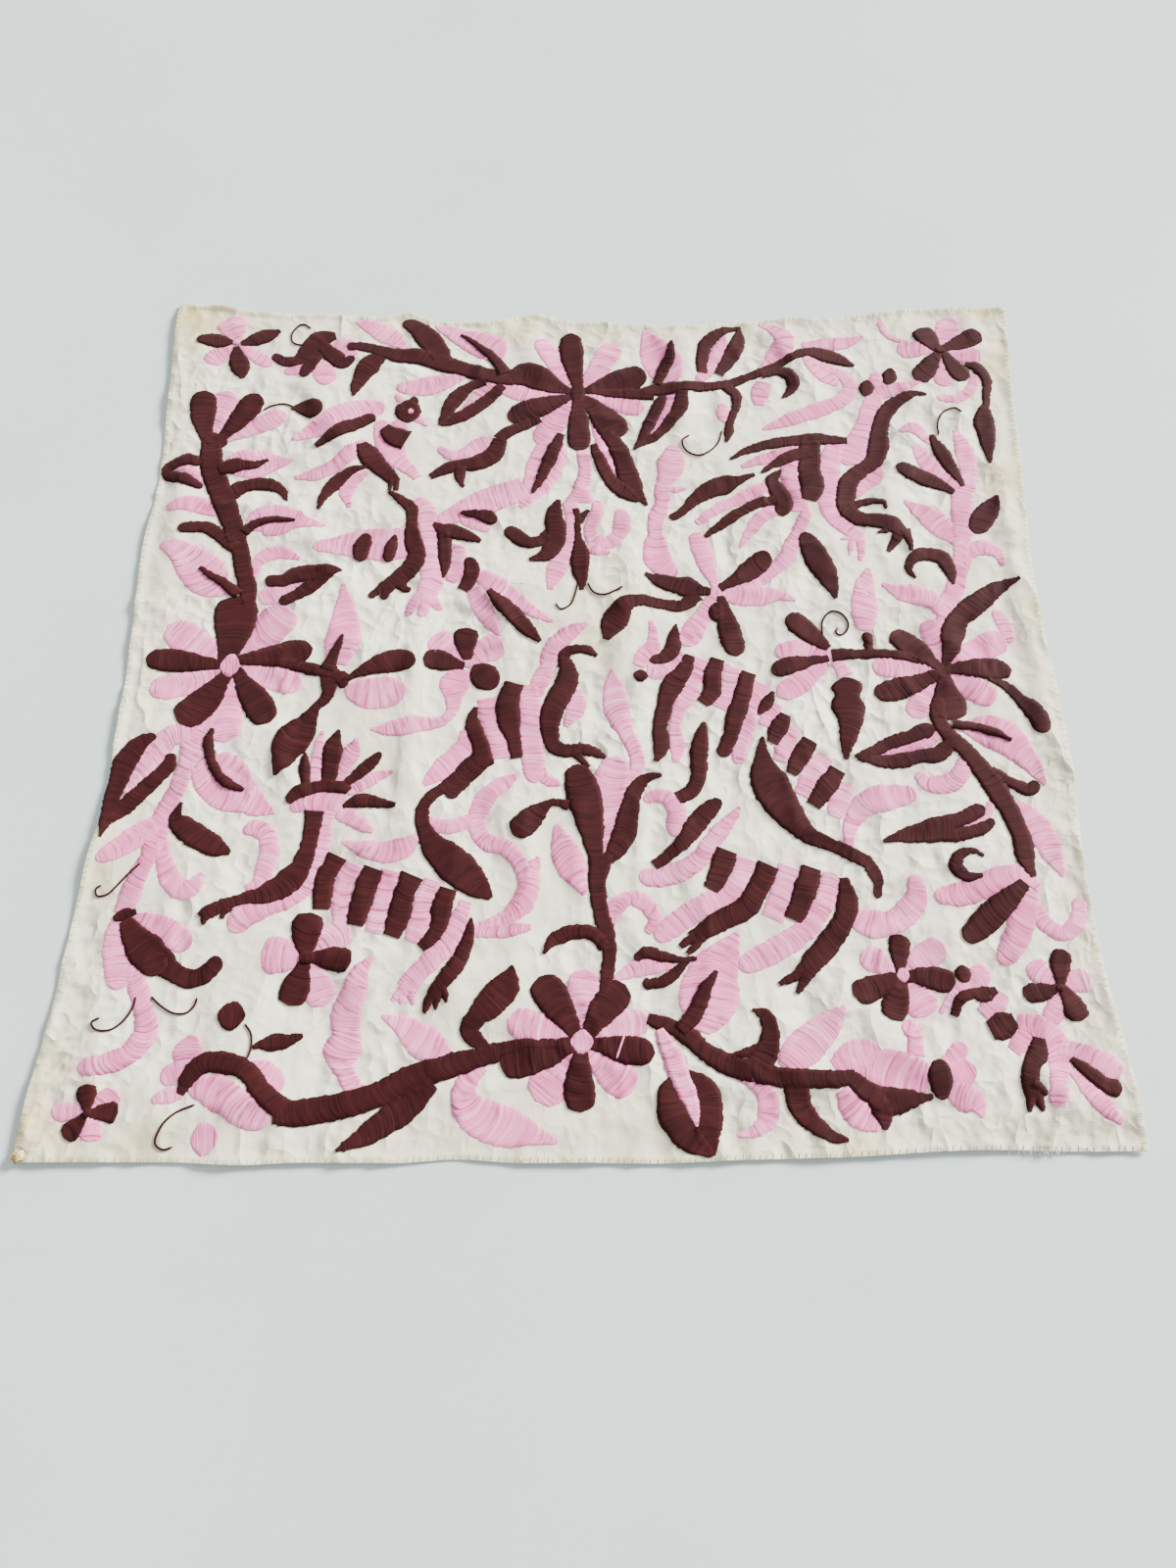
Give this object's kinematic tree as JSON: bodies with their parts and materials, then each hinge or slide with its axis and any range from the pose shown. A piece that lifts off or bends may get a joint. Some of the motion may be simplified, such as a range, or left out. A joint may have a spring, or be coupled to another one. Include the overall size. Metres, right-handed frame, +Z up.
{
  "type": "embroidered cotton cloth",
  "caption": "Square sheet of plain cotton with narrow turned hems, embroidered with flowers, leaves and striped animals, spread out on a flat surface.",
  "frame": {"origin": "middle of the cloth's bounding box, on the surface that the cloth lies on", "axes": "+Z up, out of the embroidered side; +X along the lower hem; +Y from the lower hem towards the upper hem"},
  "size_m": [1.24, 1.247, 0.0086],
  "materials": {
    "cotton": "plain woven undyed cotton, creased",
    "dark_floss": "matt stranded cotton thread, deep maroon brown",
    "pink_floss": "soft sheen stranded cotton thread, pink"
  },
  "bodies": {
    "root": {"cloth": "cotton"}
  },
  "joints": []
}
